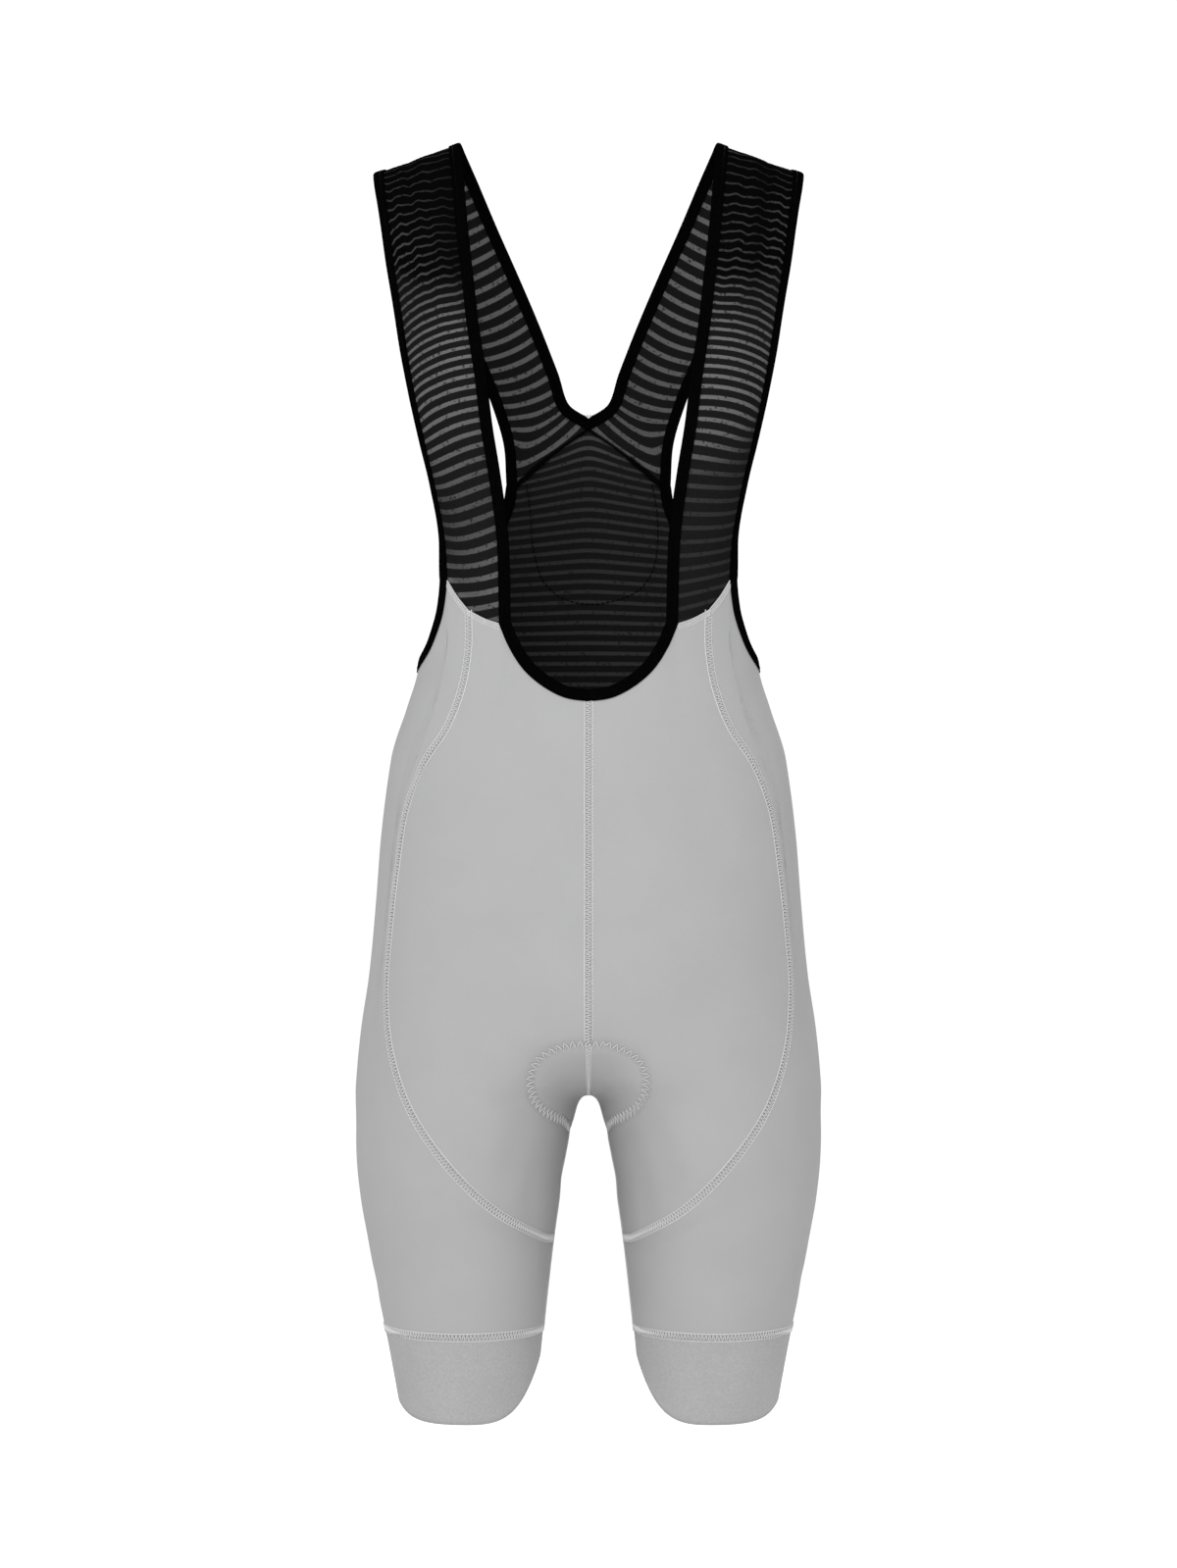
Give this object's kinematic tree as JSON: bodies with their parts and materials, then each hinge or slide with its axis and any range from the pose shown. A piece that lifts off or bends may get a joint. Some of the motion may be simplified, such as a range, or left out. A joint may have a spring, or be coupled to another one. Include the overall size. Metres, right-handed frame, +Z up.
{
  "type": "cycling bib shorts",
  "caption": "Knee-length cycling bib shorts standing open in their worn shape, with striped mesh shoulder straps, a scoop neck and bound armholes.",
  "frame": {"origin": "on the centre plane between the two shoulder straps, at the height of the shoulders that carry them", "axes": "+Z up towards the shoulders, -Y towards the garment's front, +X towards the wearer's left"},
  "size_m": [0.3432, 0.2372, 0.9333],
  "materials": {
    "grey_knit": "matt",
    "cuff_knit": "matt",
    "striped_mesh": "satin",
    "black_binding": "matt",
    "pad_foam": "matt"
  },
  "bodies": {
    "root": {"front_panel_left": "grey_knit", "front_panel_right": "grey_knit", "side_panel_left": "grey_knit", "side_panel_right": "grey_knit", "seat_panel_left": "grey_knit", "seat_panel_right": "grey_knit", "leg_cuff_left": "cuff_knit", "leg_cuff_right": "cuff_knit", "strap_left": "striped_mesh", "strap_right": "striped_mesh", "back_mesh_panel": "striped_mesh", "neck_binding": "black_binding", "armhole_binding_left": "black_binding", "armhole_binding_right": "black_binding", "crotch_pad": "pad_foam"}
  },
  "joints": []
}
